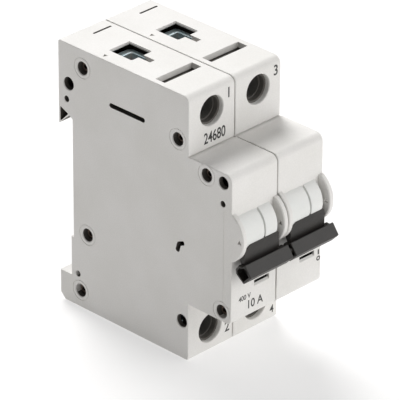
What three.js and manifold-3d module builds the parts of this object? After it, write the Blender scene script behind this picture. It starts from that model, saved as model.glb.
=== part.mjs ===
// Two-pole miniature circuit breaker for a 35 mm DIN rail.
// Millimetres. X across the two poles, Y from the front (-) to the rail (+), Z up.
// Inside this file Y = 0 is the plane of the rail and Z = 0 the bottom face; the whole group is then
// moved along Y so that the origin is at the middle of the bounding box's bottom face.
import * as THREE from 'three';
import { mergeVertices } from 'three/addons/utils/BufferGeometryUtils.js';
import Module from 'manifold-3d';

const wasm = await Module();
wasm.setup();

// ---------- driving dimensions ----------
const gap = 0.3;
const polePitch = 17.5;
const poleWidth = polePitch - gap / 2;
const half = poleWidth / 2;
const poleCentre = (polePitch * 2 - poleWidth) / 2;
const height = 80;
const middle = height / 2;
const wall = 1.6;
const shoulderFront = -44;
const collarFront = -60;
const collarTop = 62.5;
const collarBottom = height - collarTop;
const hookBack = 5.7;
const gripFront = -67.3;
const seat = 0.4;
const railHeight = 35;
const railTop = middle + railHeight / 2;
const lowerBlockTop = 8.9;
const seatStepTop = 21.2;
const insideLeft = -half + wall;
const insideRight = half - wall;
const insideFront = collarFront + wall;
const coverInset = wall + gap;
const insideChamfer = 1.4;

const toggleAxis = { y: -56.4, z: 44 };
const cheekRadius = 8;
const openingHalf = 7;
const drumRadius = 7;
const drumRight = 5.5;
const togglePinRadius = 1;
const crank = { radius: 2.6, angle: THREE.MathUtils.degToRad(107.2) };

const contactPivot = { y: -33, z: 28 };
const contactSwing = THREE.MathUtils.degToRad(24);
const contactReach = 15;
const contactClosedAngle = THREE.MathUtils.degToRad(52.8);
const linkPin = { reach: 10, angle: THREE.MathUtils.degToRad(105.5), radius: 0.8 };

const tripPivot = { y: -40, z: 46 };
const coilAxisZ = 52;

const screwZ = 73.1;
const wireEntry = { left: -3.6, right: 3.7, back: -9.2, front: -17.7 };
const keyhole = { left: -1.2, right: 0.7, front: -22 };
const busbarRecess = { left: -7, right: 6.8, back: -29.8, front: -33.4, floor: 78 };
const busbarSlot = { left: -6.7, right: 1.8, back: -31.5, front: -32.7 };
const flagWindow = { left: 0.2, right: 6, bottom: 26.4, top: 28 };

const rivetPlaces = [[-3.7, 74.4], [-39.9, 66.3], [-50.6, 59.5], [-5.2, 23.8], [-2.3, 5.3], [-56.5, 20.5]];
const rivetRadius = 1.3;
const rivetHead = { radius: 1.6, thickness: 0.8, depth: 1.4 };
const rivetRecess = { radius: 1.9, depth: 2.5 };
const rivetBoss = { radius: 3.1, depth: 1.6 };
const peepHoles = [
  [1.7, 67.9, 1.9], [-56.8, 59.5, 1.4], [-41.6, 11.6, 1.9],
  [2.5, 63, 0.9], [-56.7, 53.2, 0.9], [-1.3, 10.2, 0.9],
];

// ---------- materials ----------
const finish = (color, roughness, metalness) =>
  new THREE.MeshStandardMaterial({ color, roughness, metalness });
const housingPlastic = finish('#dfddda', 0.55, 0);
const drumPlastic = finish('#e6e7e6', 0.45, 0);
const leverPlastic = finish('#3a3735', 0.6, 0);
const clipPlastic = finish('#5a5a5a', 0.6, 0);
const flagPlastic = finish('#b9bbb8', 0.5, 0);
const tripPlastic = finish('#c8b48a', 0.6, 0);
const zincSteel = finish('#c2cbd0', 0.35, 0.9);
const plainSteel = finish('#9a9c9e', 0.4, 0.9);
const copper = finish('#b87347', 0.35, 0.9);
const bimetal = finish('#a89f8c', 0.4, 0.9);

// ---------- solids ----------
const toSolid = (geometry) => {
  const bare = geometry.index ? geometry.toNonIndexed() : geometry;
  bare.deleteAttribute('normal');
  bare.deleteAttribute('uv');
  const merged = mergeVertices(bare, 1e-4);
  return new wasm.Manifold(new wasm.Mesh({
    numProp: 3,
    vertProperties: new Float32Array(merged.attributes.position.array),
    triVerts: new Uint32Array(merged.index.array),
  }));
};

const toGeometry = (solid) => {
  const { vertProperties, triVerts } = solid.getMesh();
  const geometry = new THREE.BufferGeometry();
  geometry.setAttribute('position', new THREE.BufferAttribute(new Float32Array(vertProperties), 3));
  geometry.setIndex(new THREE.BufferAttribute(new Uint32Array(triVerts), 1));
  return geometry;
};

const box = (x0, x1, y0, y1, z0, z1) => {
  const geometry = new THREE.BoxGeometry(Math.abs(x1 - x0), Math.abs(y1 - y0), Math.abs(z1 - z0));
  geometry.translate((x0 + x1) / 2, (y0 + y1) / 2, (z0 + z1) / 2);
  return toSolid(geometry);
};

// A shape drawn with Y as its first and Z as its second coordinate, run along X.
const alongX = new THREE.Matrix4().makeBasis(
  new THREE.Vector3(0, 1, 0), new THREE.Vector3(0, 0, 1), new THREE.Vector3(1, 0, 0));

const prism = (shape, x0, x1, curveSegments = 6) => {
  const geometry = new THREE.ExtrudeGeometry(shape, { depth: x1 - x0, bevelEnabled: false, curveSegments });
  geometry.applyMatrix4(alongX);
  geometry.translate(x0, 0, 0);
  return toSolid(geometry);
};

const polygon = (points) => new THREE.Shape(points.map(([y, z]) => new THREE.Vector2(y, z)));

// A turned piece: profile points are [radius, distance along the axis].
const turned = (profile, axis, sides = 16) => {
  const geometry = new THREE.LatheGeometry(profile.map(([r, t]) => new THREE.Vector2(r, t)), sides);
  if (axis === 'x') geometry.rotateZ(-Math.PI / 2);
  return toSolid(geometry);
};

const rod = (radius, from, to) => [[0, from], [radius, from], [radius, to], [0, to]];
const rodX = (radius, x0, x1, y, z, sides = 12) =>
  turned(rod(radius, x0, x1), 'x', sides).translate([0, y, z]);
const rodY = (radius, y0, y1, x, z, sides = 16) =>
  turned(rod(radius, y0, y1), 'y', sides).translate([x, 0, z]);

const join = (...solids) => solids.reduce((sum, solid) => sum.add(solid));
const cut = (solid, ...tools) => tools.reduce((rest, tool) => rest.subtract(tool), solid);
const atTopAndBottom = (make) => [make(), make().mirror([0, 0, 1]).translate([0, 0, height])];

const polar = (centre, reach, angle) => ({
  y: centre.y + reach * Math.cos(angle),
  z: centre.z + reach * Math.sin(angle),
});

const strip = (from, to, thickness, x0, x1) => {
  const along = new THREE.Vector2(to.y - from.y, to.z - from.z).normalize();
  const side = { y: -along.y * thickness / 2, z: along.x * thickness / 2 };
  return prism(polygon([
    [from.y - side.y, from.z - side.z], [to.y - side.y, to.z - side.z],
    [to.y + side.y, to.z + side.z], [from.y + side.y, from.z + side.z],
  ]), x0, x1);
};

const pieces = new THREE.Group();
const add = (parent, name, solid, material) => {
  const mesh = new THREE.Mesh(toGeometry(solid), material);
  mesh.name = name;
  parent.add(mesh);
};

// ---------- housing ----------
// Corners are [y, z, radius]; a rounded corner is a quadratic curve between its two tangent points.
const roundedShape = (corners) => {
  const shape = new THREE.Shape();
  corners.forEach(([y, z, radius = 0], index) => {
    const corner = new THREE.Vector2(y, z);
    const previous = corners[(index + corners.length - 1) % corners.length];
    const next = corners[(index + 1) % corners.length];
    const back = new THREE.Vector2(previous[0], previous[1]).sub(corner).setLength(radius).add(corner);
    const ahead = new THREE.Vector2(next[0], next[1]).sub(corner).setLength(radius).add(corner);
    if (index === 0) shape.moveTo(back.x, back.y);
    else shape.lineTo(back.x, back.y);
    if (radius > 0) shape.quadraticCurveTo(y, z, ahead.x, ahead.y);
  });
  return shape;
};

const outerCorners = [
  [shoulderFront, 0, 0.8], [hookBack - 1.8, 0], [hookBack, 1.8], [hookBack, lowerBlockTop],
  [1.3, lowerBlockTop], [1.3, seatStepTop], [seat, seatStepTop], [seat, railTop - 0.1],
  [1.7, 58.2], [hookBack, 54.6], [hookBack, height, 0.8], [shoulderFront, height, 2.2],
  [shoulderFront, collarTop], [collarFront, collarTop, 2.2],
  [collarFront, collarBottom, 1.5], [shoulderFront, collarBottom],
];

const insideCorners = (inset) => [
  [shoulderFront + inset, inset], [0.1 - inset, inset], [0.1 - inset, 58.2 + inset],
  [hookBack - inset, 59.8 + inset], [hookBack - inset, height - inset],
  [shoulderFront + inset, height - inset], [shoulderFront + inset, collarTop - inset],
  [collarFront + inset + insideChamfer, collarTop - inset],
  [collarFront + inset, collarTop - inset - insideChamfer],
  [collarFront + inset, collarBottom + inset + insideChamfer],
  [collarFront + inset + insideChamfer, collarBottom + inset], [shoulderFront + inset, collarBottom + inset],
];

const cheekDisc = (x0, x1) => rodX(cheekRadius, x0, x1, toggleAxis.y, toggleAxis.z, 32);

const rivetHoles = () => rivetPlaces.flatMap(([y, z]) => [
  rodX(rivetRadius + gap, -half - 1, half + 1, y, z),
  rodX(rivetRecess.radius, -half - 1, -half + rivetRecess.depth, y, z),
  rodX(rivetRecess.radius, half - rivetRecess.depth, half + 1, y, z),
]);

const sideHoles = (x0, x1) => [
  ...peepHoles.map(([y, z, radius]) => rodX(radius, x0, x1, y, z, radius > 1 ? 12 : 8)),
  box(x0, x1, -27.5, -14.2, 66.5, 67.9),
  strip({ y: -39.8, z: 32.6 }, { y: -40.4, z: 34.6 }, 1.5, x0, x1)
    .add(strip({ y: -40.2, z: 34.2 }, { y: -42.4, z: 35.8 }, 1.5, x0, x1)),
];

const wireEntryCut = () => join(
  box(wireEntry.left, wireEntry.right, wireEntry.front, wireEntry.back, height - 3, height + 1),
  box(keyhole.left, keyhole.right, keyhole.front, wireEntry.front + 0.1, height - 3, height + 1));

const busbarPad = () => box(insideLeft - 0.5, insideRight - 0.5, -34.4, -28.6, 76.5, height - wall + 0.1);
const fromTop = ({ left, right, front, back }, floor) => box(left, right, front, back, floor, height + 1);
const busbarCut = () => join(fromTop(busbarRecess, busbarRecess.floor), fromTop(busbarSlot, height - 6));

const screwTube = () => rodY(4.9, shoulderFront + 0.5, -38, 0, screwZ, 18);
const screwBore = () => join(
  rodY(3.7, shoulderFront - 1, -37, 0, screwZ, 18),
  rodY(4.3, shoulderFront - 1, shoulderFront + 1.5, 0, screwZ, 18));

const chamberFloor = () => box(insideLeft - 0.5, insideRight - 0.5, -16.6, -1, 62.4, 63.6);
const bridgeHole = () => box(-0.5, 7.1, 0.9, 1.5, height - 5, height + 1);

const clipPocket = { half: 4.2, front: 0.1, back: 2.6 };

const baseShell = () => {
  const outer = prism(roundedShape(outerCorners), -half, half).add(cheekDisc(-half, -half + wall));
  const cavity = prism(polygon(insideCorners(wall)), insideLeft, half + 1);
  const bosses = rivetPlaces.map(
    ([y, z]) => rodX(rivetBoss.radius, -half + 0.2, insideLeft + rivetBoss.depth, y, z));
  const inside = prism(polygon(insideCorners(wall - 0.2)), -half + 0.1, half);
  const ribs = join(
    ...bosses, ...atTopAndBottom(busbarPad), ...atTopAndBottom(screwTube), ...atTopAndBottom(chamberFloor),
    rodX(1.6, -half + 0.5, 4, contactPivot.y, contactPivot.z),
    rodX(1.3, -half + 0.5, 4, tripPivot.y, tripPivot.z),
  ).intersect(inside);
  const openings = [
    ...atTopAndBottom(wireEntryCut), ...atTopAndBottom(busbarCut), ...atTopAndBottom(screwBore),
    bridgeHole(),
    box(insideLeft, half + 1, toggleAxis.y, collarFront - 0.5,
      toggleAxis.z - openingHalf, toggleAxis.z + openingHalf),
    box(flagWindow.left, flagWindow.right, collarFront - 1, insideFront + 1,
      flagWindow.bottom, flagWindow.top),
    box(-clipPocket.half, clipPocket.half, clipPocket.front, clipPocket.back, -1, 25),
    prism(polygon([[5, 59.8], [1.9, 58.6], [5, 55.6]]), -half - 1, half + 1),
    rodX(togglePinRadius + gap, insideLeft - 0.9, 0, toggleAxis.y, toggleAxis.z),
  ];
  const shell = cut(outer, cavity).add(ribs);
  return cut(shell, ...openings, ...rivetHoles(), ...sideHoles(-half - 1, insideLeft));
};

const sideCover = () => {
  const plate = prism(polygon(insideCorners(coverInset)), insideRight, half)
    .add(cheekDisc(insideRight, half).intersect(
      box(0, half + 1, -70, -50, toggleAxis.z - openingHalf + gap, toggleAxis.z + openingHalf - gap)));
  const bosses = rivetPlaces.map(
    ([y, z]) => rodX(rivetBoss.radius, insideRight - rivetBoss.depth, half - 0.2, y, z));
  const bossLimit = prism(polygon(insideCorners(coverInset)), insideRight - 3, half);
  return cut(
    plate.add(join(...bosses).intersect(bossLimit)),
    ...rivetHoles(), ...sideHoles(insideRight, half + 1),
    rodX(togglePinRadius + gap, 0, insideRight + 0.9, toggleAxis.y, toggleAxis.z));
};

// ---------- terminals ----------
const screwShape = () => {
  const head = { front: -37.2, back: -34.2, radius: 3 };
  const screw = turned([
    [0, head.front], [head.radius, head.front], [head.radius, head.back], [2.3, head.back],
    [2.3, -20.2], [1.5, -19.3], [0, -19.3],
  ], 'y');
  return cut(screw, box(-4, 4, -38, -36, -0.5, 0.5)).translate([0, 0, screwZ]);
};

const clampShape = () => {
  const cage = box(-5, 5, -22.4, -7.8, 67.2, 77.8);
  return cut(cage,
    box(-3.9, 3.9, -20.9, -8.9, 66, 79),
    rodY(2.6, -23, -20, 0, screwZ));
};

const lineTerminalPlate = () => box(-3.4, 3.4, -18.9, -17.9, 60.4, 77.2);
const loadTerminalPlate = () => join(
  box(-3.4, 3.4, -18.9, -17.9, 2.8, 16.4),
  box(-3.4, 3.4, -41.9, -18, 15.3, 16.4),
  box(-3.4, 3.4, -41.9, -40.9, 15.3, 21),
  box(-3.4, 3.4, -46.2, -41, 20, 21));

// ---------- magnetic trip ----------
const coilShape = () => turned([
  [2.7, -21.8], [5.9, -21.8], [5.9, -20.8], [5.4, -20.8], [5.4, -9.2], [5.9, -9.2], [5.9, -8.2], [2.7, -8.2],
  [2.7, -21.8],
], 'y').translate([0, 0, coilAxisZ]);

const yokeShape = () => cut(
  join(
    box(-5, 5, -23.4, -22.2, 46.2, 59.8),
    box(-5, 5, -7.8, -6.6, 46.2, 59.8),
    box(-5, 5, -23.4, -6.6, 58.6, 59.8)),
  rodY(1.3, -24, -22, 0, coilAxisZ));

const plungerShape = () => turned([
  [0, -24.3], [0.8, -24.3], [0.8, -19.5], [2.2, -19.5], [2.2, -9.5], [0, -9.5],
], 'y').translate([0, 0, coilAxisZ]);

// ---------- contacts and arc chamber ----------
const fixedContact = () => join(
  box(-3, 3, -21.8, -20.8, 37.2, 45.6),
  box(-3, 3, -21, -10, 37.2, 38.2),
  box(-2, 2, -22.6, -21.7, 38.8, 42));

const movingContact = () => {
  const tip = polar(contactPivot, contactReach, contactClosedAngle + contactSwing);
  const ear = polar(contactPivot, linkPin.reach, linkPin.angle);
  const arm = join(
    strip(contactPivot, tip, 1.6, -2, 2),
    strip(contactPivot, ear, 1.6, -2, 2),
    rodX(2.7, -2, 2, contactPivot.y, contactPivot.z),
    rodX(1.5, -2, 2, ear.y, ear.z, 12),
    rodX(linkPin.radius, 1, 6.8, ear.y, ear.z, 12));
  return cut(arm, rodX(1.9, -3, 3, contactPivot.y, contactPivot.z));
};

const arcChute = () => {
  const plateCount = 8;
  const pitch = 1.8;
  const plates = Array.from({ length: plateCount }, (_, index) => {
    const z = 20.6 + index * pitch;
    return box(-6, 6, -20.4, -9.2, z, z + 0.9);
  });
  return join(
    ...plates,
    box(-6.7, -5.9, -20.4, -9.2, 20, 36),
    box(5.7, 6.4, -20.4, -9.2, 20, 36));
};

const arcRunner = () => join(
  box(-3, 3, -24.2, -23.2, 18.4, 34.6),
  box(-3, 3, -24.2, -9.2, 18.4, 19.3));

const contactSpring = () => {
  const turns = 5;
  const steps = turns * 8;
  const points = Array.from({ length: steps + 1 }, (_, index) => {
    const angle = index / 8 * Math.PI * 2;
    const x = insideLeft + 0.7 + (index / steps) * 3.6;
    const { y, z } = polar(contactPivot, 2.6, angle);
    return new THREE.Vector3(x, y, z);
  });
  const wire = polygon([[0.3, 0], [0, 0.3], [-0.3, 0], [0, -0.3]]);
  return toSolid(new THREE.ExtrudeGeometry(wire, {
    steps, extrudePath: new THREE.CatmullRomCurve3(points), bevelEnabled: false,
  }));
};

// ---------- thermal trip ----------
const bimetalStrip = () => box(-3, 3, -46.2, -45.2, 21.3, 37);

const calibrationScrew = () => {
  const screw = turned([[0, -52], [2, -52], [2, -50.4], [1.2, -50.4], [1.2, -46.6], [0, -46.6]], 'y', 14);
  return cut(screw, box(-3, 3, -53, -51.4, -0.3, 0.3)).translate([0, 0, 25]);
};

const braid = () => {
  const route = [[-36.6, 26.4], [-38, 24], [-40.4, 23.2], [-42.6, 24.2], [-43.9, 26.2]];
  const curve = new THREE.CatmullRomCurve3(route.map(([y, z]) => new THREE.Vector3(0, y, z)));
  const section = new THREE.Shape();
  section.absarc(0, 0, 0.9, 0, Math.PI * 2);
  return toSolid(new THREE.ExtrudeGeometry(section, {
    steps: 10, curveSegments: 4, extrudePath: curve, bevelEnabled: false,
  }));
};

const tripLever = () => cut(
  join(
    rodX(2.4, -2.5, 2.5, tripPivot.y, tripPivot.z),
    strip(tripPivot, { y: -42.6, z: 35.6 }, 1.4, -2.5, 2.5),
    strip(tripPivot, { y: -28.2, z: 52.6 }, 1.4, -2.5, 2.5)),
  rodX(1.6, -3, 3, tripPivot.y, tripPivot.z));

// ---------- toggle ----------
const drumShape = () => {
  const crankPin = polar(toggleAxis, crank.radius, crank.angle);
  return cut(
    rodX(drumRadius, -6.7, drumRight, toggleAxis.y, toggleAxis.z, 28),
    rodX(togglePinRadius + gap, -8, 8, toggleAxis.y, toggleAxis.z, 14),
    rodX(0.85, drumRight - 2.5, drumRight + 1, crankPin.y, crankPin.z, 10));
};

const gripSection = [[-5.9, -6.1], [-7.7, -6.1], [-10.9, -9.1], [-8, -12.2], [-5.1, -10], [-4.8, -8.6]];
const neckSection = [[-6.6, -3.6], [-8.5, -5.5], [-7.9, -6.6], [-5.9, -6.6], [-4.8, -5.75]];
const fromToggleAxis = (section) => polygon(section.map(([y, z]) => [toggleAxis.y + y, toggleAxis.z + z]));
const tieCentre = { y: toggleAxis.y - 8, z: toggleAxis.z - 8.7 };

const leverShape = () => cut(
  join(
    prism(fromToggleAxis(neckSection), -4.6, 5.3),
    prism(fromToggleAxis(gripSection), -half + gap, half - gap)),
  rodX(1.3, -10, 10, tieCentre.y, tieCentre.z, 12));

const togglePin = () => rodX(togglePinRadius, -7.7, 7.7, toggleAxis.y, toggleAxis.z, 12);

const toggleLink = () => {
  const crankPin = polar(toggleAxis, crank.radius, crank.angle);
  const far = polar(contactPivot, linkPin.reach, linkPin.angle);
  const bar = join(
    strip(crankPin, far, 1, 5.9, 6.7),
    rodX(1.05, 5.9, 6.7, crankPin.y, crankPin.z, 12),
    rodX(2.4, 5.9, 6.7, far.y, far.z),
    rodX(0.55, drumRight - 2, 6.2, crankPin.y, crankPin.z, 8));
  return cut(bar, rodX(linkPin.radius + 0.7, 5, 7, far.y, far.z));
};

const positionFlag = () => box(-0.4, 6.4, insideFront + gap, insideFront + gap + 1, 24.2, 27.2);

// ---------- fastening ----------
const dinClip = () => join(
  box(-3.9, 3.9, clipPocket.front + gap, clipPocket.back - gap, 0.6, 22.2),
  box(-3.9, 3.9, 1.7, 4, 20, 24));

const rivetShape = (y, z) => {
  const headOuter = polePitch - rivetHead.depth;
  const headInner = headOuter - rivetHead.thickness;
  const profile = [
    [0.7, -headOuter], [rivetHead.radius, -headOuter],
    [rivetHead.radius, -headInner], [rivetRadius, -headInner],
    [rivetRadius, headInner], [rivetHead.radius, headInner], [rivetHead.radius, headOuter], [0.7, headOuter],
    [0.7, -headOuter],
  ];
  return turned(profile, 'x', 10).translate([0, y, z]);
};

// ---------- assembly ----------
const poleParts = [
  ['base_shell', baseShell, housingPlastic],
  ['side_cover', sideCover, housingPlastic],
  ['line_terminal_plate', lineTerminalPlate, copper],
  ['load_terminal_plate', loadTerminalPlate, copper],
  ['magnet_coil', coilShape, copper],
  ['magnet_yoke', yokeShape, plainSteel],
  ['plunger', plungerShape, plainSteel],
  ['fixed_contact', fixedContact, copper],
  ['moving_contact', movingContact, copper],
  ['arc_chute', arcChute, plainSteel],
  ['arc_runner', arcRunner, copper],
  ['contact_spring', contactSpring, plainSteel],
  ['bimetal_strip', bimetalStrip, bimetal],
  ['calibration_screw', calibrationScrew, plainSteel],
  ['braid', braid, copper],
  ['trip_lever', tripLever, tripPlastic],
  ['toggle_drum', drumShape, drumPlastic],
  ['toggle_lever', leverShape, leverPlastic],
  ['toggle_pin', togglePin, plainSteel],
  ['toggle_link', toggleLink, plainSteel],
  ['position_flag', positionFlag, flagPlastic],
  ['din_clip', dinClip, clipPlastic],
];

const mirrorToLoad = (solid) => solid.mirror([0, 0, 1]).translate([0, 0, height]);

[-1, 1].forEach((side, index) => {
  const pole = new THREE.Group();
  pole.position.x = side * poleCentre;
  const label = index + 1;
  poleParts.forEach(([name, make, material]) => add(pole, `${name}_${label}`, make(), material));
  add(pole, `line_screw_${label}`, screwShape(), zincSteel);
  add(pole, `load_screw_${label}`, mirrorToLoad(screwShape()), zincSteel);
  add(pole, `line_clamp_${label}`, clampShape(), zincSteel);
  add(pole, `load_clamp_${label}`, mirrorToLoad(clampShape()), zincSteel);
  pieces.add(pole);
});

rivetPlaces.forEach(([y, z], index) => add(pieces, `case_rivet_${index + 1}`, rivetShape(y, z), plainSteel));
add(pieces, 'handle_tie', rodX(1, -15, 15, tieCentre.y, tieCentre.z, 12), leverPlastic);

pieces.position.y = -(hookBack + gripFront) / 2;

export default pieces;
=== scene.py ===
import math
import bpy
import bmesh
from mathutils import Matrix, Vector


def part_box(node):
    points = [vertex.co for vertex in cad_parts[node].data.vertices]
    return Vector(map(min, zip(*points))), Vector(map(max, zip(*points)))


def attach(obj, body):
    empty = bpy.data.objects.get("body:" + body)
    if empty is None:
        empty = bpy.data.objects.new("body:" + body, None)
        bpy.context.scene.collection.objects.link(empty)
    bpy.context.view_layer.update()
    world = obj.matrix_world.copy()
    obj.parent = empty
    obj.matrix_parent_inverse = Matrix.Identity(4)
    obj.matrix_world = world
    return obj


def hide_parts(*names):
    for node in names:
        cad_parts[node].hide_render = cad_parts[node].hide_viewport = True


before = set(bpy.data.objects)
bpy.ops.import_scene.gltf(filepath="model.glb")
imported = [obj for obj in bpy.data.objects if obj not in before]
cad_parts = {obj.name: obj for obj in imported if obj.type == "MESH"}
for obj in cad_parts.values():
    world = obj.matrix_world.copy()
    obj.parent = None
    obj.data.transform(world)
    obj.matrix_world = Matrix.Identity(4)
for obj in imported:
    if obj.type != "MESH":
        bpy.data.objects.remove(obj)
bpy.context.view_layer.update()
print("frame loaded")

# New pieces are shaped in millimetres around the middle of one pole, with y = 0 on the rail, and are then
# made metres and moved to their pole.
mm = 0.001
hookDepth = 5.7


def poleCentre(number):
    low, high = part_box(f"base_shell_{number}")
    return Vector(((low.x + high.x) / 2, high.y - hookDepth * mm, low.z))


# --- modelling helpers

def deselectAll():
    if bpy.context.object and bpy.context.object.mode != "OBJECT":
        bpy.ops.object.mode_set(mode="OBJECT")
    bpy.ops.object.select_all(action="DESELECT")


def activate(piece):
    deselectAll()
    piece.select_set(True)
    bpy.context.view_layer.objects.active = piece


def selectIn(piece, part, test):
    # leaves the piece in edit mode with the faces or edges that pass the test selected
    activate(piece)
    bpy.ops.object.mode_set(mode="EDIT")
    bpy.ops.mesh.select_mode(type=part)
    bpy.ops.mesh.select_all(action="DESELECT")
    mesh = bmesh.from_edit_mesh(piece.data)
    for item in (mesh.edges if part == "EDGE" else mesh.faces):
        if test(item):
            item.select_set(True)
    bmesh.update_edit_mesh(piece.data)


def faceOutwards(piece):
    selectIn(piece, "FACE", lambda face: True)
    bpy.ops.mesh.normals_make_consistent(inside=False)
    bpy.ops.object.mode_set(mode="OBJECT")
    return piece


def bevelWhere(piece, test, width, steps=3):
    selectIn(piece, "EDGE", test)
    bpy.ops.mesh.bevel(offset=width, segments=steps, profile=0.5, clamp_overlap=False)
    bpy.ops.object.mode_set(mode="OBJECT")
    return piece


def ends(edge):
    return edge.verts[0].co, edge.verts[1].co


def near(a, b, slack=0.01):
    return abs(a - b) < slack


def addOutline(points, left, right):
    # a side view of (y, z) points, drawn on a circle primitive and extruded along x
    deselectAll()
    bpy.ops.mesh.primitive_circle_add(vertices=len(points), radius=1, fill_type="NGON")
    piece = bpy.context.object
    for vertex, (y, z) in zip(piece.data.vertices, points):
        vertex.co = (left, y, z)
    bpy.ops.object.mode_set(mode="EDIT")
    bpy.ops.mesh.select_all(action="SELECT")
    bpy.ops.mesh.extrude_region_move(TRANSFORM_OT_translate={"value": (right - left, 0, 0)})
    bpy.ops.object.mode_set(mode="OBJECT")
    return faceOutwards(piece)


def addBlock(x0, x1, y0, y1, z0, z1, rounding=0.0, steps=2):
    deselectAll()
    bpy.ops.mesh.primitive_cube_add(size=1, location=((x0 + x1) / 2, (y0 + y1) / 2, (z0 + z1) / 2),
                                    scale=(x1 - x0, y1 - y0, z1 - z0))
    piece = bpy.context.object
    bpy.ops.object.transform_apply(location=True, rotation=True, scale=True)
    if rounding:
        bevelWhere(piece, lambda edge: True, rounding, steps)
    return piece


def addTurned(stations, axis, at, sides=32):
    # stations are (distance along the axis, radius); the first circle is extruded and resized from one to the next
    deselectAll()
    start, radius = stations[0]
    bpy.ops.mesh.primitive_circle_add(vertices=sides, radius=radius, fill_type="NGON", location=(0, 0, start))
    piece = bpy.context.object
    bpy.ops.object.transform_apply(location=True, rotation=True, scale=True)
    bpy.ops.object.mode_set(mode="EDIT")
    bpy.ops.mesh.select_all(action="SELECT")
    for (before, wide), (after, wider) in zip(stations, stations[1:]):
        bpy.ops.mesh.extrude_region_move(TRANSFORM_OT_translate={"value": (0, 0, after - before)})
        bpy.ops.transform.resize(value=(wider / wide, wider / wide, 1), center_override=(0, 0, after))
    bpy.ops.object.mode_set(mode="OBJECT")
    piece.rotation_euler = {"x": (0, math.pi / 2, 0), "y": (-math.pi / 2, 0, 0), "z": (0, 0, 0)}[axis]
    piece.location = at
    bpy.ops.object.transform_apply(location=True, rotation=True, scale=True)
    return faceOutwards(piece)


def combine(piece, other, operation="DIFFERENCE"):
    activate(piece)
    modifier = piece.modifiers.new("shape", "BOOLEAN")
    modifier.object = other
    modifier.operation = operation
    modifier.solver = "EXACT"
    bpy.ops.object.modifier_apply(modifier=modifier.name)
    bpy.data.objects.remove(other, do_unlink=True)
    return piece


def duplicate(piece, move=(0, 0, 0)):
    twin = piece.copy()
    twin.data = piece.data.copy()
    bpy.context.scene.collection.objects.link(twin)
    twin.data.transform(Matrix.Translation(move))
    return twin


def upsideDown(piece):
    # the same shape at the other end of the breaker
    twin = duplicate(piece)
    twin.data.transform(Matrix.Translation((0, 0, shell["height"])) @ Matrix.Scale(-1, 4, (0, 0, 1)))
    return faceOutwards(twin)


def rounded(corners, steps=5):
    # (y, z, radius) corners as points, each radius drawn as an arc
    points = []
    for index, corner in enumerate(corners):
        y, z, radius = (*corner, 0)[:3]
        if not radius:
            points.append((y, z))
            continue
        here = Vector((y, z))
        back = (Vector(corners[index - 1][:2]) - here).normalized()
        ahead = (Vector(corners[(index + 1) % len(corners)][:2]) - here).normalized()
        half = back.angle(ahead) / 2
        centre = here + (back + ahead).normalized() * radius / math.sin(half)
        first = here + back * radius / math.tan(half) - centre
        last = here + ahead * radius / math.tan(half) - centre
        turn = first.angle_signed(last)
        for step in range(steps + 1):
            share = step / steps
            point = centre + Matrix.Rotation(-turn * share, 2) @ first
            points.append((point.x, point.y))
    return points


def finishPiece(piece, name, number, materials, body, stands=(), angle=32):
    twin = duplicate(piece)
    twin.name = name
    activate(twin)
    centre = poleCentre(number) if number else Vector((0, poleCentre(1).y, 0))
    twin.scale = (mm, mm, mm)
    twin.location = centre
    bpy.ops.object.transform_apply(location=True, rotation=True, scale=True)
    for place, material in enumerate(materials):
        if place < len(twin.data.materials):
            twin.data.materials[place] = material
        else:
            twin.data.materials.append(material)
    bpy.ops.object.shade_smooth_by_angle(angle=math.radians(angle))
    modifier = twin.modifiers.new("even normals", "WEIGHTED_NORMAL")
    modifier.keep_sharp = True
    bpy.ops.object.modifier_apply(modifier=modifier.name)
    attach(twin, body)
    if stands:
        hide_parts(*stands)
    return twin


def discard(*pieces):
    for piece in pieces:
        bpy.data.objects.remove(piece, do_unlink=True)


# --- materials

def fromHex(text):
    # sRGB hex to linear
    values = [int(text[i:i + 2], 16) / 255 for i in (1, 3, 5)]
    return tuple(v / 12.92 if v <= 0.04045 else ((v + 0.055) / 1.055) ** 2.4 for v in values) + (1.0,)


def addNode(tree, kind, settings=None, links=None):
    node = tree.nodes.new(kind)
    for key, value in (settings or {}).items():
        if isinstance(key, int) or key in node.inputs:
            node.inputs[key].default_value = value
        else:
            setattr(node, key, value)
    for key, source in (links or {}).items():
        tree.links.new(source, node.inputs[key])
    return node


def newMaterial(name):
    material = bpy.data.materials.new(name)
    material.use_nodes = True
    tree = material.node_tree
    tree.nodes.clear()
    output = addNode(tree, "ShaderNodeOutputMaterial")
    place = addNode(tree, "ShaderNodeTexCoord").outputs["Object"]
    return material, tree, output, place


def addTint(tree, colour, shade, share):
    # a mix of two sRGB hex colours
    return addNode(tree, "ShaderNodeMix",
                   {"data_type": "RGBA", 6: fromHex(colour), 7: fromHex(shade)}, {0: share}).outputs[2]


def addRange(tree, source, span, result):
    # stretches the span of a texture's value over the result
    return addNode(tree, "ShaderNodeMapRange",
                   {"From Min": span[0], "From Max": span[1], "To Min": result[0], "To Max": result[1]},
                   {"Value": source}).outputs["Result"]


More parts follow.
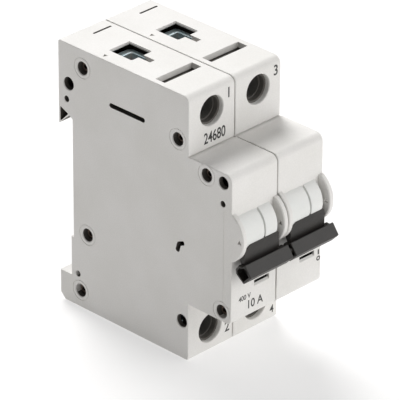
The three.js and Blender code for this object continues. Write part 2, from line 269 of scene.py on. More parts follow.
def mouldedPlastic(name, look):
    # moulded thermoplastic: IOR 1.53, a soft mottle, a fine eroded grain and slightly uneven gloss
    material, tree, output, place = newMaterial(name)
    mottle = addNode(tree, "ShaderNodeTexNoise", {"Scale": 1 / (look["mottleSize"] * mm), "Detail": 3.0},
                     {"Vector": place})
    grain = addNode(tree, "ShaderNodeTexNoise", {"Scale": 1 / (look["grainSize"] * mm), "Detail": 2.0},
                    {"Vector": place})
    blend = addRange(tree, mottle.outputs["Fac"], (0.35, 0.65), (0, 1))
    tint = addTint(tree, look["colour"], look["shade"], blend)
    speck = addRange(tree, grain.outputs["Fac"], (0.4, 0.7), (1 - look["speckle"], 1 + look["speckle"]))
    colour = addNode(tree, "ShaderNodeVectorMath", {"operation": "SCALE"}, {0: tint, "Scale": speck})
    gloss = addRange(tree, grain.outputs["Fac"], (0.3, 0.7), (look["roughness"] - 0.05, look["roughness"] + 0.05))
    bump = addNode(tree, "ShaderNodeBump",
                   {"Strength": look["grainStrength"], "Distance": look["grainDepth"] * mm},
                   {"Height": grain.outputs["Fac"]})
    shader = addNode(tree, "ShaderNodeBsdfPrincipled", {"IOR": 1.53},
                     {"Base Color": colour.outputs[0], "Roughness": gloss, "Normal": bump.outputs["Normal"]})
    tree.links.new(shader.outputs[0], output.inputs["Surface"])
    return material


def metalSurface(name, look):
    # sheet metal: default IOR, brushed or rolled lines along one direction over a cloudy tint
    material, tree, output, place = newMaterial(name)
    stretch = addNode(tree, "ShaderNodeMapping", {"Scale": look["lines"]}, {"Vector": place})
    lines = addNode(tree, "ShaderNodeTexNoise", {"Scale": 1 / (look["lineSize"] * mm), "Detail": 4.0},
                    {"Vector": stretch.outputs[0]})
    cloud = addNode(tree, "ShaderNodeTexNoise", {"Scale": 1 / (look["cloudSize"] * mm), "Detail": 2.0},
                    {"Vector": place})
    blend = addRange(tree, cloud.outputs["Fac"], (0.35, 0.65), (0, 1))
    tint = addTint(tree, look["colour"], look["shade"], blend)
    gloss = addRange(tree, lines.outputs["Fac"], (0.3, 0.7), (look["roughness"] - 0.08, look["roughness"] + 0.08))
    bump = addNode(tree, "ShaderNodeBump", {"Strength": look["lineStrength"], "Distance": 0.02 * mm},
                   {"Height": lines.outputs["Fac"]})
    shader = addNode(tree, "ShaderNodeBsdfPrincipled", {"Metallic": look.get("metallic", 1.0)},
                     {"Base Color": tint, "Roughness": gloss, "Normal": bump.outputs["Normal"]})
    tree.links.new(shader.outputs[0], output.inputs["Surface"])
    return material


# glass-free polyamide, injection moulded in an eroded tool: satin, with a grain of about 0.1 mm, drawn at
# 0.35 mm so that it shows
housingPolyamide = mouldedPlastic("housingPolyamideMoulded", {
    "colour": "#E4E2DF", "shade": "#DFDDD9", "mottleSize": 14, "grainSize": 0.35, "speckle": 0.025,
    "roughness": 0.5, "grainStrength": 0.35, "grainDepth": 0.03})
# the inner walls of the same moulding: painted shade, a dark dull grey that stands in for the shadow inside the
# hollow, its holes and slots
housingPaintedShade = mouldedPlastic("housingPolyamidePaintedShade", {
    "colour": "#5E5A55", "shade": "#524F4A", "mottleSize": 8, "grainSize": 0.4, "speckle": 0.04,
    "roughness": 0.65, "grainStrength": 0.3, "grainDepth": 0.03})
# the second slot carries the painted shade for the inner faces
housingFinish = [housingPolyamide, housingPaintedShade]
# polycarbonate drum from a polished tool: smoother and a little glossier than the housing, with a cooler white
drumPolycarbonate = mouldedPlastic("drumPolycarbonateMoulded", {
    "colour": "#E6E6E3", "shade": "#E0E1DE", "mottleSize": 9, "grainSize": 0.5, "speckle": 0.01,
    "roughness": 0.33, "grainStrength": 0.12, "grainDepth": 0.02})
# glass-filled polyamide lever from a spark-eroded tool: charcoal, matte, with a coarse pebbled grain of 0.3 mm
leverPolyamide = mouldedPlastic("leverPolyamideSparkEroded", {
    "colour": "#1F1C19", "shade": "#27231F", "mottleSize": 5, "grainSize": 0.3, "speckle": 0.22,
    "roughness": 0.52, "grainStrength": 0.6, "grainDepth": 0.05})
# acetal clip: dark grey, waxy and smooth
clipAcetal = mouldedPlastic("clipAcetalMoulded", {
    "colour": "#4A4947", "shade": "#53524F", "mottleSize": 6, "grainSize": 0.4, "speckle": 0.05,
    "roughness": 0.42, "grainStrength": 0.3, "grainDepth": 0.03})
# flag of pale moulded ABS
flagAbs = mouldedPlastic("flagAbsMoulded", {
    "colour": "#AEB0AB", "shade": "#A6A8A4", "mottleSize": 4, "grainSize": 0.35, "speckle": 0.03,
    "roughness": 0.45, "grainStrength": 0.25, "grainDepth": 0.03})
# trip lever of tan phenolic resin, pressed: fine fibre mottle and a satin skin
tripPhenolic = mouldedPlastic("tripPhenolicPressed", {
    "colour": "#B59A68", "shade": "#9C8150", "mottleSize": 1.5, "grainSize": 0.3, "speckle": 0.12,
    "roughness": 0.48, "grainStrength": 0.4, "grainDepth": 0.03})
# zinc-plated steel, blue passivated: cool, slightly cloudy, with a faint drawing grain
bluePassivatedZinc = metalSurface("steelZincBluePassivated", {
    "metallic": 0.8, "colour": "#E2ECEE", "shade": "#C2D6DC", "lines": (1, 1, 0.15), "lineSize": 0.35,
    "cloudSize": 2.5, "roughness": 0.46, "lineStrength": 0.3})
# cold-rolled steel, stamped: grey with rolling lines
rolledSteel = metalSurface("steelColdRolled", {
    "colour": "#A3A4A5", "shade": "#8E8F91", "lines": (1, 0.1, 1), "lineSize": 0.3, "cloudSize": 4,
    "roughness": 0.36, "lineStrength": 0.35})
# tubular rivet: brown-grey and dull, its darkness partly painted shade for the bottom of its deep hole
rivetSteelShadeDarkened = metalSurface("steelRivetShadeDarkened", {
    "colour": "#77695F", "shade": "#5F544C", "lines": (0.2, 1, 1), "lineSize": 0.25, "cloudSize": 1.2,
    "roughness": 0.42, "lineStrength": 0.4})
# half-hard copper, stamped and slightly oxidised
stampedCopper = metalSurface("copperStamped", {
    "colour": "#C98A63", "shade": "#A9633F", "lines": (1, 0.12, 1), "lineSize": 0.3, "cloudSize": 3,
    "roughness": 0.32, "lineStrength": 0.3})
# enamelled winding wire: darker copper under a clear varnish
enamelledCopper = metalSurface("copperWindingEnamelled", {
    "colour": "#B4622F", "shade": "#8A431F", "lines": (1, 1, 1), "lineSize": 0.4, "cloudSize": 2,
    "roughness": 0.24, "lineStrength": 0.15})
# rolled bimetal, straw to grey
rolledBimetal = metalSurface("bimetalRolled", {
    "colour": "#B5A98D", "shade": "#9A9282", "lines": (1, 1, 0.1), "lineSize": 0.3, "cloudSize": 3,
    "roughness": 0.34, "lineStrength": 0.3})


def printedInk():
    # black pad-print ink: thin, satin, a touch patchy where it is laid on the grain
    material, tree, output, place = newMaterial("inkPadPrinted")
    patch = addNode(tree, "ShaderNodeTexNoise", {"Scale": 1 / (0.3 * mm), "Detail": 2.0}, {"Vector": place})
    tint = addTint(tree, "#1E1D1D", "#3A3938", patch.outputs["Fac"])
    shader = addNode(tree, "ShaderNodeBsdfPrincipled", {"IOR": 1.5, "Roughness": 0.45}, {"Base Color": tint})
    tree.links.new(shader.outputs[0], output.inputs["Surface"])
    return material


ink = printedInk()
print("materials made")


# --- housing of one pole

shell = {
    "half": 8.675, "height": 80, "wall": 1.6, "shoulder": -44, "collar": -60, "collarTop": 62.5,
    "collarBottom": 17.5, "hook": hookDepth, "edge": 0.28, "toggle": (-56.4, 44), "cheek": 8,
    "outline": [
        (-44, 0, 0.8), (3.9, 0), (5.7, 1.8), (5.7, 8.9), (1.3, 8.9), (1.3, 21.2), (0.4, 21.2), (0.4, 57.4),
        (1.7, 58.2), (5.7, 54.6), (5.7, 80, 0.8), (-44, 80, 2.2), (-44, 62.5), (-60, 62.5, 2.2),
        (-60, 17.5, 1.5), (-44, 17.5)],
    "entry": (-3.6, 3.7, -17.7, -9.2), "keyhole": (-1.2, 0.7, -22, -17),
    "screwHeight": 73.1,
    "rivets": [(-3.7, 74.4), (-39.9, 66.3), (-50.6, 59.5), (-5.2, 23.8), (-2.3, 5.3), (-56.5, 20.5)],
    "peepHoles": [(1.7, 67.9, 1.9), (-56.8, 59.5, 1.8), (-41.6, 11.6, 1.9),
                  (2.5, 63, 0.9), (-56.7, 53.2, 0.9), (-1.3, 10.2, 0.9)],
    "window": (0.2, 6, 26.4, 28), "opening": 7, "edgeRound": 0.25,
    "slot": [(-27.6, 66.5, 0.69), (-14.1, 66.5, 0.69), (-14.1, 67.9, 0.69), (-27.6, 67.9, 0.69)],
    "kidney": [(-39.1, 32.4, 0.6), (-40.6, 32.4, 0.6), (-41.2, 34.6, 0.2), (-42.7, 35.2, 0.6),
               (-42.3, 36.5, 0.6), (-39.9, 35.4, 0.9)],
    "sealHole": [(-63.7, 43.4), (-62.2, 43.3), (-62.8, 44.8)],
    "rivetRecess": [(-0.6, 2.15), (0, 2.15), (0.1, 2.0), (0.25, 1.92), (2.45, 1.9), (2.5, 1.6), (4.6, 1.6)],
    "rivetRing": ([(-0.5, 3.17), (0.16, 3.12)], [(-0.7, 2.9), (0.4, 2.95)]), "bossRadius": 3.1,
}


def insideOutline(inset):
    top, bottom = shell["collarTop"] - inset, shell["collarBottom"] + inset
    front, collar, chamfer = shell["shoulder"] + inset, shell["collar"] + inset, 1.4
    high = shell["height"] - inset
    return [(front, inset), (0.1 - inset, inset), (0.1 - inset, 58.2 + inset),
            (shell["hook"] - inset, 59.8 + inset), (shell["hook"] - inset, high), (front, high), (front, top),
            (collar + chamfer, top), (collar, top - chamfer), (collar, bottom + chamfer),
            (collar + chamfer, bottom), (front, bottom)]


def sideHoleCutters(surface, inwards, through):
    # cutters for one side; surface is its x, inwards is +1 or -1, through is where the holes end
    def place(cutter, y, z):
        if inwards < 0:
            cutter.data.transform(Matrix.Scale(-1, 4, (1, 0, 0)))
            faceOutwards(cutter)
        cutter.data.transform(Matrix.Translation((surface, y, z)))
        return cutter

    cutters = []
    outerRing, innerRing = shell["rivetRing"]
    for y, z in shell["rivets"]:
        cutters.append(place(addTurned(shell["rivetRecess"], "x", (0, 0, 0), 40), y, z))
        ring = combine(addTurned(outerRing, "x", (0, 0, 0), 48), addTurned(innerRing, "x", (0, 0, 0), 48))
        cutters.append(place(ring, y, z))
    for y, z, radius in shell["peepHoles"]:
        depth = abs(through - surface)
        flare = 0.22 if radius > 1 else 0.12
        cutter = addTurned([(-0.6, radius + flare), (0, radius + flare), (flare / 2, radius + flare / 4),
                            (flare * 1.3, radius), (depth, radius)], "x", (0, 0, 0), 36)
        cutters.append(place(cutter, y, z))
    low, high = sorted((surface - inwards, through))
    cutters.append(addOutline(rounded(shell["slot"]), low, high))
    cutters.append(addOutline(rounded(shell["kidney"], 4), low, high))
    return cutters


def screwHole():
    # stepped bore over a terminal screw, with a rounded mouth
    return addTurned([(-45, 4.5), (-44, 4.5), (-43.85, 4.38), (-43.6, 4.3), (-42.6, 4.3), (-42.5, 3.75),
                      (-41, 3.7), (-40.9, 3.4), (-37, 3.35)], "y", (0, 0, shell["screwHeight"]), 56)


def upright(edge):
    first, last = ends(edge)
    return near(first.x, last.x) and near(first.y, last.y)


def wireEntry():
    # square hole with a stepped rim and a keyhole towards the front, in a wall thinned from below
    left, right, front, back = shell["entry"]
    top = shell["height"]
    hole = bevelWhere(addBlock(left, right, front, back, top - 4, top + 1), upright, 0.25, 2)
    combine(hole, addBlock(*shell["keyhole"], top - 4, top + 1), "UNION")
    combine(hole, addBlock(left - 0.2, right + 0.2, front + 0.2, back + 0.2, top - 0.25, top + 1), "UNION")
    thinned = addBlock(left - 1.4, right + 1.3, front - 0.8, back + 1.2, top - 4, top - 0.6)
    return combine(hole, thinned, "UNION")


def busbarOpening():
    # recess with a dark slot along its back wall and a deeper pocket at its right end
    top = shell["height"]
    recess = bevelWhere(addBlock(-7, 6.8, -33.4, -29.8, top - 1.7, top + 1), upright, 0.12, 2)
    combine(recess, addBlock(-6.85, 3.9, -30.5, -29.85, top - 6, top - 1), "UNION")
    return combine(recess, addBlock(3.9, 6.78, -33.3, -29.82, top - 3.1, top - 1), "UNION")


def takesPaintedShade(point):
    # true for the faces painted with shade: the walls of the hollow, of the side holes below their mouths and of
    # the deep slots
    x, y, z = abs(point.x), point.y, point.z
    shoulder = -42.7 < y < (4.4 if z > 59 else -0.8) and 1.3 < z < 78.6
    collar = -58.7 < y < -42 and 18.8 < z < 61.2
    hookWindow = 1.8 < y < 5.1 and 55 < z < 60.2
    bridgeSlot = 0.8 < y < 1.6 and 0.2 < point.x < 7.2 and z < 79.9
    return (shoulder or collar or hookWindow or bridgeSlot) and x < shell["half"] - 0.35


def paintShadeInside(piece, keep=lambda point: False):
    # a second material for the inner faces: the dark housing colour as painted shade
    for slot in range(2):
        piece.data.materials.append(None)

    def test(face):
        centre = face.calc_center_median()
        return takesPaintedShade(centre) and not keep(centre)

    selectIn(piece, "FACE", test)
    piece.active_material_index = 1
    bpy.ops.object.material_slot_assign()
    bpy.ops.object.mode_set(mode="OBJECT")
    return piece


def makeCheek(left, right, opening=None):
    # round ear beside the toggle; the cover's ear is trimmed to the height of the opening
    axisY, axisZ = shell["toggle"]
    radius, edge = shell["cheek"], shell["edgeRound"]
    cheek = addTurned([(left, radius - edge), (left + edge, radius), (right - edge, radius),
                       (right, radius - edge)], "x", (0, axisY, axisZ), 96)
    if opening:
        combine(cheek, addBlock(0, right + 1, -70, -50, axisZ - opening, axisZ + opening), "INTERSECT")
    return cheek


def makePoleShell():
    half, wall, top = shell["half"], shell["wall"], shell["height"]
    axisY, axisZ = shell["toggle"]
    inner = -half + wall
    body = addOutline(rounded(shell["outline"]), -half, half)
    bevelWhere(body, lambda edge: near(ends(edge)[0].x, ends(edge)[1].x), shell["edge"], 3)
    combine(body, makeCheek(-half, inner), "UNION")
    combine(body, addOutline(insideOutline(wall), inner, half + 1))
    # screw tubes, rivet bosses, busbar pads and chamber floors inside, as one moulding with the shell
    tube = addTurned([(shell["shoulder"] + 0.5, 4.9), (-38, 4.9)], "y", (0, 0, shell["screwHeight"]), 40)
    pad = addBlock(inner - 0.5, half - wall - 0.5, -34.4, -28.6, 76.5, top - wall + 0.1)
    floor = addBlock(inner - 0.5, half - wall - 0.5, -16.6, -1, 62.4, 63.6)
    for rib in (tube, pad, floor):
        combine(body, upsideDown(rib), "UNION")
        combine(body, rib, "UNION")
    for y, z in shell["rivets"]:
        boss = addTurned([(-half + 0.2, shell["bossRadius"]), (inner + wall, shell["bossRadius"])],
                         "x", (0, y, z), 32)
        combine(boss, addOutline(insideOutline(wall - 0.2), -half, half), "INTERSECT")
        combine(body, boss, "UNION")
    # openings in the top, repeated in the bottom
    for cutter in (wireEntry(), busbarOpening(), screwHole()):
        combine(body, upsideDown(cutter))
        combine(body, cutter)
    bridge = bevelWhere(addBlock(0.3, 7.1, 0.85, 1.55, top - 5, top + 1),
                        lambda edge: abs(ends(edge)[0].z - ends(edge)[1].z) > 1, 0.3, 3)
    combine(body, bridge)
    mark = addOutline([(-11.3, top + 1), (-11.3, top - 1.2), (-9.9, top - 1.2), (-9.9, top + 1)], -7.7, -6.3)
    selectIn(mark, "EDGE", lambda edge: near(ends(edge)[0].x, -7.7) and near(ends(edge)[1].x, -7.7)
             and near(ends(edge)[0].z, ends(edge)[1].z))
    bpy.ops.transform.resize(value=(1, 0.05, 1), center_override=(-7.7, -10.6, top))
    bpy.ops.object.mode_set(mode="OBJECT")
    combine(body, mark)
    # toggle opening, position window, clip pocket, hook window and the hole for a seal wire
    opening = shell["opening"]
    combine(body, addBlock(inner, half + 1, axisY, shell["collar"] - 0.5, axisZ - opening, axisZ + opening))
    left, right, low, high = shell["window"]
    combine(body, addBlock(left - 0.5, right + 0.5, -59.45, -57.4, low - 0.9, high + 0.5))
    combine(body, addOutline([(-61, low - 0.15), (-60, low - 0.15), (-59.4, low + 0.4), (-57.4, low + 0.4),
                              (-57.4, high), (-61, high)], left, right))
    combine(body, addBlock(-4.2, 4.2, 0.1, 2.6, -1, 25))
    combine(body, addOutline(rounded([(5, 60, 0.2), (1.9, 58.6, 0.2), (5, 55.4, 0.2)]), -half - 1, half + 1))
    combine(body, addOutline(shell["sealHole"], -half - 1, half + 1))
    # seam of the shoulder over the collar, and the shallow step down the side of the collar
    combine(body, addBlock(-half - 1, half + 1, -44.8, -43.6, 62.2, 62.55))
    combine(body, addOutline([(-61, 22.5), (-57, 22.5), (-57, 51), (-61, 51)], -half - 1, -half + 0.1))
    for cutter in sideHoleCutters(-half, 1, inner + 0.3):
        combine(body, cutter)
    print("pole shell cut,", len(body.data.polygons), "faces")
    return paintShadeInside(body)


def makeSideCover():
    half, wall = shell["half"], shell["wall"]
    axisZ = shell["toggle"][1]
    inner = half - wall
    plate = addOutline(insideOutline(wall + 0.22), inner, half)
    bevelWhere(plate, lambda edge: near(ends(edge)[0].x, half) and near(ends(edge)[1].x, half), 0.22, 2)
    combine(plate, makeCheek(inner, half, shell["opening"] - 0.25), "UNION")
    for y, z in shell["rivets"]:
        boss = addTurned([(inner - wall, shell["bossRadius"]), (half - 0.2, shell["bossRadius"])],
                         "x", (0, y, z), 32)
        combine(boss, addOutline(insideOutline(wall + 0.3), inner - 3, half), "INTERSECT")
        combine(plate, boss, "UNION")
    for cutter in sideHoleCutters(half, -1, inner - 0.3):
        combine(plate, cutter)
    combine(plate, addOutline(shell["sealHole"], 0, half + 1))
    print("side cover cut,", len(plate.data.polygons), "faces")
    # the cheek's inner face beside the toggle keeps the housing colour, left out of the painted shade
    return paintShadeInside(plate, lambda point: point.y < -56 and abs(point.z - axisZ) < 8)


shellShape, coverShape = makePoleShell(), makeSideCover()
for number in (1, 2):
    finishPiece(shellShape, f"poleShell_{number}", number, housingFinish, "housing",
                (f"base_shell_{number}",))
    finishPiece(coverShape, f"sideCover_{number}", number, housingFinish, "housing",
                (f"side_cover_{number}",))
discard(shellShape, coverShape)
print("housing made")


# --- toggles

toggle = {
    "drum": [(-6.7, 6.7), (-6.62, 6.88), (-6.45, 6.95), (0.4, 6.95), (0.46, 6.85), (0.5, 5.9), (1, 5.9),
             (1.04, 6.85), (1.1, 6.95), (5.3, 6.95), (5.44, 6.88), (5.5, 6.7)],
    "pin": 1.3, "crank": (2.6, 107.2),
    "neck": [(-6.82, -1.9), (-6.75, -3.0), (-6.75, -3.7), (-6.95, -4.6), (-6.9, -7.7), (-5.9, -8), (-5, -6),
             (-5.6, -3), (-6.1, -1.8)],
    "neckSides": (-7, 6.2),
    # x and z of a point on each cut, and its slant
    "neckCuts": [(-4.85, -1.3, -2.25, 4.9), (-4.4, -1.3, -1, 1), (5.1, -1.3, -1.2, -5.2)],
    "grip": [(-5.9, -7.2), (-7.3, -7.3), (-8.2, -6.35), (-10.5, -9.5), (-7.8, -12.3), (-5, -10.2),
             (-4.75, -8.8)],
    "gripSides": (-8.35, 8.35), "gripEdge": 0.3, "tie": (-8, -8.7, 1.3),
    "hollow": [(-6.2, -7.7), (-7.5, -7.75), (-8.25, -7.1), (-9.9, -9.45), (-7.75, -11.7), (-5.55, -9.95),
               (-5.3, -9)],
}


def fromToggle(points):
    axisY, axisZ = shell["toggle"]
    return [(axisY + y, axisZ + z) for y, z in points]


def makeDrum():
    axisY, axisZ = shell["toggle"]
    drum = addTurned(toggle["drum"], "x", (0, axisY, axisZ), 96)
    combine(drum, addTurned([(-8, toggle["pin"]), (8, toggle["pin"])], "x", (0, axisY, axisZ), 32))
    reach, angle = toggle["crank"]
    angle = math.radians(angle)
    return combine(drum, addTurned([(3, 0.85), (6.5, 0.85)], "x", (0, axisY + reach * math.cos(angle),
                                                                 axisZ + reach * math.sin(angle)), 24))


def makeLever():
    axisY, axisZ = shell["toggle"]
    left, right = toggle["gripSides"]
    grip = addOutline(fromToggle(toggle["grip"]), left, right)
    bevelWhere(grip, lambda edge: True, toggle["gripEdge"], 3)
    # hollow in the left end, tapering inwards
    hollow = addOutline(fromToggle(toggle["hollow"]), left - 1, left + 2.2)
    selectIn(hollow, "FACE", lambda face: face.calc_center_median().x > left + 2)
    bpy.ops.transform.resize(value=(1, 0.8, 0.8), center_override=(left, axisY - 7.8, axisZ - 9))
    bpy.ops.object.mode_set(mode="OBJECT")
    combine(grip, hollow)
    # neck from the drum to the grip, wider towards the grip
    neckLeft, neckRight = toggle["neckSides"]
    neck = addOutline(fromToggle(toggle["neck"]), neckLeft, neckRight)
    for x, z, slantX, slantZ in toggle["neckCuts"]:
        selectIn(neck, "FACE", lambda face: True)
        bpy.ops.mesh.bisect(plane_co=(x, axisY, axisZ + z), plane_no=(-slantZ, 0, -slantX), use_fill=True,
                            clear_outer=True)
        bpy.ops.object.mode_set(mode="OBJECT")
    combine(grip, neck, "UNION")
    y, z, radius = toggle["tie"]
    return combine(grip, addTurned([(-12, radius), (12, radius)], "x", (0, axisY + y, axisZ + z), 32))


flagLook = {"block": (-0.4, 6.4, -58.1, -57.1, 22.3, 27.2), "edge": 0.12, "split": 24.7}


def makeFlag():
    # the window shows the flag's black-inked upper half when off, painted shade for the dark deep in the window,
    # and its pale half when it rises
    flag = addBlock(*flagLook["block"], flagLook["edge"], 2)
    selectIn(flag, "FACE", lambda face: True)
    bpy.ops.mesh.bisect(plane_co=(0, 0, flagLook["split"]), plane_no=(0, 0, 1))
    bpy.ops.object.mode_set(mode="OBJECT")
    for slot in range(2):
        flag.data.materials.append(None)
    # the upper half takes the black ink as painted shade
    selectIn(flag, "FACE", lambda face: face.calc_center_median().z > flagLook["split"])
    flag.active_material_index = 1
    bpy.ops.object.material_slot_assign()
    bpy.ops.object.mode_set(mode="OBJECT")
    return flag


drumShape, leverShape, flagShape = makeDrum(), makeLever(), makeFlag()
for number in (1, 2):
    finishPiece(drumShape, f"toggleDrum_{number}", number, [drumPolycarbonate], "handle",
                (f"toggle_drum_{number}",))
    finishPiece(leverShape, f"toggleLever_{number}", number, [leverPolyamide], "handle",
                (f"toggle_lever_{number}",))
    finishPiece(flagShape, f"positionFlag_{number}", number, [flagAbs, ink], f"flag_{number}",
                (f"position_flag_{number}",))
discard(drumShape, leverShape, flagShape)
print("toggles made")


# --- terminals, rivets and rail clips

terminal = {
    "headFront": -37.2, "headBack": -34.2, "head": 3, "shaft": 2.28, "root": 1.95, "pitch": 0.8, "tip": -19.3,
    "slot": 0.8, "slotDepth": 1.1, "recess": 0.75,
    "cage": (-4.6, 4.6, -22.4, -8.6, 67.2, 77.7), "bore": (-2.8, 2.8, -21, -11), "cageCorner": 1.5,
}


def makeScrew():
    front, back, head = terminal["headFront"], terminal["headBack"], terminal["head"]
    stations = [(front, head - 0.35), (front + 0.1, head - 0.12), (front + 0.35, head), (back - 0.2, head),
                (back, head - 0.2), (back + 0.01, terminal["root"])]
    along = back + 0.3
    while along + terminal["pitch"] < terminal["tip"] - 1:
        # one turn of thread, drawn as a rib
        stations += [(along, terminal["root"]), (along + 0.3, terminal["shaft"]),
                     (along + 0.45, terminal["shaft"]), (along + 0.75, terminal["root"])]
        along += terminal["pitch"]
    stations += [(terminal["tip"] - 0.7, 1.9), (terminal["tip"], 1.3)]
    screw = addTurned(stations, "y", (0, 0, shell["screwHeight"]), 40)
    height, deep = shell["screwHeight"], front + terminal["slotDepth"]
    thick = terminal["slot"] / 2
    combine(screw, addBlock(-4, 4, front - 1, deep, height - thick, height + thick))
    cross = addBlock(-terminal["recess"], terminal["recess"], front - 1, deep + 0.4, height - 1.9, height + 1.9)
    selectIn(cross, "FACE", lambda face: face.calc_center_median().y > deep)
    bpy.ops.transform.resize(value=(0.5, 1, 0.45), center_override=(0, deep, height))
    bpy.ops.object.mode_set(mode="OBJECT")
    return combine(screw, cross)


def makeClamp():
    cage = addBlock(*terminal["cage"])
    bevelWhere(cage, upright, terminal["cageCorner"], 5)
    bevelWhere(cage, lambda edge: near(ends(edge)[0].z, ends(edge)[1].z), 0.3, 3)
    x0, x1, y0, y1 = terminal["bore"]
    bore = addBlock(x0, x1, y0, y1, 60, 82)
    bevelWhere(bore, lambda edge: abs(ends(edge)[0].z - ends(edge)[1].z) > 1, 0.5, 3)
    combine(cage, bore)
    return combine(cage, addTurned([(-23, 2.6), (-20, 2.6)], "y", (0, 0, shell["screwHeight"]), 40))


def makeRivet():
    outer, thick = 16.1, 0.8
    rivet = addTurned([(-outer, 1.2), (-outer + 0.12, 1.5), (-outer + 0.3, 1.6), (-outer + thick, 1.5),
                       (-outer + thick, 1.3), (outer - thick, 1.3), (outer - thick, 1.5), (outer - 0.3, 1.6),
                       (outer - 0.12, 1.5), (outer, 1.2)], "x", (0, 0, 0), 28)
    return combine(rivet, addTurned([(-17, 0.95), (-outer + 0.4, 0.72), (outer - 0.4, 0.72), (17, 0.95)],
                                    "x", (0, 0, 0), 28))


def makeClip():
    clip = addOutline(rounded([(0.4, 0.6, 0.3), (2.3, 0.6, 0.3), (2.3, 20, 0.2), (4, 20.6, 0.3), (4, 23.4, 0.5),
                               (1.7, 24, 0.3), (1.7, 22.2, 0.2), (0.4, 22.2, 0.2)]), -3.9, 3.9)
    bevelWhere(clip, lambda edge: near(ends(edge)[0].x, ends(edge)[1].x), 0.18, 2)
    # slot at the foot for a screwdriver, and two spring slots
    combine(clip, addBlock(-1.6, 1.6, 0, 3, 2, 3.2, 0.3, 2))
    for side in (-1, 1):
        combine(clip, addBlock(side * 2.3 - 0.35, side * 2.3 + 0.35, 0, 3, 6, 16, 0.3, 2))
    return clip


screwShape, clampShape, rivetShape, clipShape = makeScrew(), makeClamp(), makeRivet(), makeClip()
for number in (1, 2):
    for end, turned in (("line", False), ("load", True)):
        for shape, kind in ((screwShape, "screw"), (clampShape, "clamp")):
            piece = upsideDown(shape) if turned else duplicate(shape)
            finishPiece(piece, f"{end}{kind.title()}_{number}", number, [bluePassivatedZinc],
                        f"{end}_{kind}_{number}", (f"{end}_{kind}_{number}",))
            discard(piece)
    finishPiece(clipShape, f"railClip_{number}", number, [clipAcetal], f"clip_{number}",
                (f"din_clip_{number}",))
for index, (y, z) in enumerate(shell["rivets"], 1):
    piece = duplicate(rivetShape, (0, y, z))
    # the rivets take the steel darkened as painted shade
    finishPiece(piece, f"caseRivet_{index}", 0, [rivetSteelShadeDarkened], "housing", (f"case_rivet_{index}",))
    discard(piece)
discard(screwShape, clampShape, rivetShape, clipShape)
print("terminals, rivets and clips made")


# --- printed marks

prints = {
    "lift": 0.015, "thickness": 0.02,
    "marks": [
        # text, height, width factor, middle x, foot z, face y
        ("1", 3.0, 0.9, -2.45, 74.9, -44), ("3", 3.0, 0.9, 15.6, 75.1, -44),
        ("2", 3.0, 0.9, -2.3, 3.2, -44), ("4", 2.4, 0.9, 15.4, 1.9, -44),
        ("24680", 3.2, 0.72, -7.7, 64.0, -44), ("10 A", 2.5, 0.9, -8.3, 20.2, -60),
        ("400 V", 1.5, 0.9, -12.2, 23.4, -60)],
    "symbol": {"x": 16.5, "y": -60, "front": 0.035, "back": 0.01, "bar": (0.26, 26.1, 27.6),
               "ring": (24.9, 0.75, 0.38)},
}


def printText(text, height, width, x, z, y, name):
    deselectAll()
    bpy.ops.object.text_add(rotation=(math.pi / 2, 0, 0), location=(x, y - prints["lift"], z))
    mark = bpy.context.object
    mark.data.body = text
    mark.data.align_x = "CENTER"
    mark.data.size = height / 0.7
    mark.data.offset = 0.02 * height
    mark.data.extrude = prints["thickness"] / 2
    mark.scale = (width, 1, 1)
    bpy.ops.object.convert(target="MESH")
    mark = bpy.context.object
    bpy.ops.object.transform_apply(location=True, rotation=True, scale=True)
    finishPiece(mark, name, 0, [ink], "housing")
    discard(mark)


for index, (text, height, width, x, z, y) in enumerate(prints["marks"], 1):
    printText(text, height, width, x, z, y, f"printedMark_{index}")
symbol = prints["symbol"]
x, front, back = symbol["x"], symbol["y"] - symbol["front"], symbol["y"] - symbol["back"]
halfWide, foot, head = symbol["bar"]
stroke = addBlock(x - halfWide, x + halfWide, front, back, foot, head)
finishPiece(stroke, "printedBar", 0, [ink], "housing")
height, outer, inner = symbol["ring"]
ring = combine(addTurned([(front, outer), (back, outer)], "y", (x, 0, height), 32),
               addTurned([(symbol["y"] - 1, inner), (symbol["y"] + 1, inner)], "y", (x, 0, height), 32))
finishPiece(ring, "printedRing", 0, [ink], "housing")
discard(stroke, ring)
print("marks printed")


# --- pieces carried over from the frame

carried = {
    "line_terminal_plate": stampedCopper, "load_terminal_plate": stampedCopper, "magnet_coil": enamelledCopper,
    "magnet_yoke": rolledSteel, "plunger": rolledSteel, "fixed_contact": stampedCopper,
    "moving_contact": stampedCopper, "arc_chute": rolledSteel, "arc_runner": stampedCopper,
    "contact_spring": rolledSteel, "bimetal_strip": rolledBimetal, "calibration_screw": rolledSteel,
    "braid": stampedCopper, "trip_lever": tripPhenolic, "toggle_pin": rolledSteel, "toggle_link": rolledSteel,
    "handle_tie": leverPolyamide}
for name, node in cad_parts.items():
    finish = next((carried[key] for key in carried if name.startswith(key)), None)
    if finish:
        node.data.materials.clear()
        node.data.materials.append(finish)
print("carried pieces finished")


# --- floor, light and camera

studio = {
    "floor": "#B6B5B4", "floorShade": "#B8B7B6", "glow": "#C2C2C2", "sky": 0.2,
    "floorSize": 8,
    "key": ((0.28, 0.6, 0.75), 3.1, 32), "fill": ((0.5, -0.8, 0.33), 1.95, 70),
}


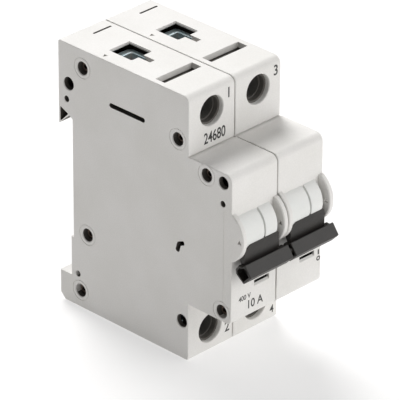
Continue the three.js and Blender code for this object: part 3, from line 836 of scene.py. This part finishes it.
def makeFloor():
    deselectAll()
    bpy.ops.mesh.primitive_plane_add(size=studio["floorSize"], location=(0, 0, -0.0002))
    floor = bpy.context.object
    floor.name = "studioFloor"
    # matt paper on a light table: rough, without gloss, lit from below so that shadows stay faint
    material, tree, output, place = newMaterial("paperMattLit")
    tone = addNode(tree, "ShaderNodeTexNoise", {"Scale": 3.0}, {"Vector": place})
    tint = addTint(tree, studio["floor"], studio["floorShade"], tone.outputs["Fac"])
    shader = addNode(tree, "ShaderNodeBsdfPrincipled",
                     {"Roughness": 0.95, "Specular IOR Level": 0.1, "Emission Strength": 1.0,
                      "Emission Color": fromHex(studio["glow"])}, {"Base Color": tint})
    tree.links.new(shader.outputs[0], output.inputs["Surface"])
    floor.data.materials.append(material)


def addSun(name, direction, strength, softness):
    light = bpy.data.lights.new(name, "SUN")
    light.energy = strength
    light.angle = math.radians(softness)
    lamp = bpy.data.objects.new(name, light)
    lamp.rotation_euler = Vector(direction).to_track_quat("Z", "Y").to_euler()
    bpy.context.scene.collection.objects.link(lamp)


def makeCamera():
    # seen from the front left and above, through a long lens
    view = {"azimuth": -45.644, "elevation": 28.328, "roll": 0.349, "distance": 1132.85, "lens": 375.63,
            "target": (0, 0.8, 40), "across": 0.83, "upward": -2.12}
    azimuth, elevation, roll = (math.radians(view[key]) for key in ("azimuth", "elevation", "roll"))
    back = Vector((math.sin(azimuth) * math.cos(elevation), -math.cos(azimuth) * math.cos(elevation),
                   math.sin(elevation)))
    flat = (-back).cross(Vector((0, 0, 1))).normalized()
    high = flat.cross(-back)
    right = math.cos(roll) * flat + math.sin(roll) * high
    up = -math.sin(roll) * flat + math.cos(roll) * high
    aim = Vector(view["target"]) + view["across"] * right + view["upward"] * up
    data = bpy.data.cameras.new("productCamera")
    data.lens = view["lens"]
    data.sensor_width = 36
    data.clip_end = 20
    camera = bpy.data.objects.new("productCamera", data)
    matrix = Matrix((right, up, back)).transposed().to_4x4()
    matrix.translation = (aim + view["distance"] * back) * mm
    camera.matrix_world = matrix
    bpy.context.scene.collection.objects.link(camera)
    bpy.context.scene.camera = camera


makeFloor()
world = bpy.data.worlds.new("studio")
world.use_nodes = True
world.node_tree.nodes["Background"].inputs["Color"].default_value = (1, 1, 1, 1)
world.node_tree.nodes["Background"].inputs["Strength"].default_value = studio["sky"]
bpy.context.scene.world = world
addSun("keyLight", *studio["key"])
addSun("fillLight", *studio["fill"])
makeCamera()
bpy.context.scene.view_settings.view_transform = "Standard"
print("studio set")
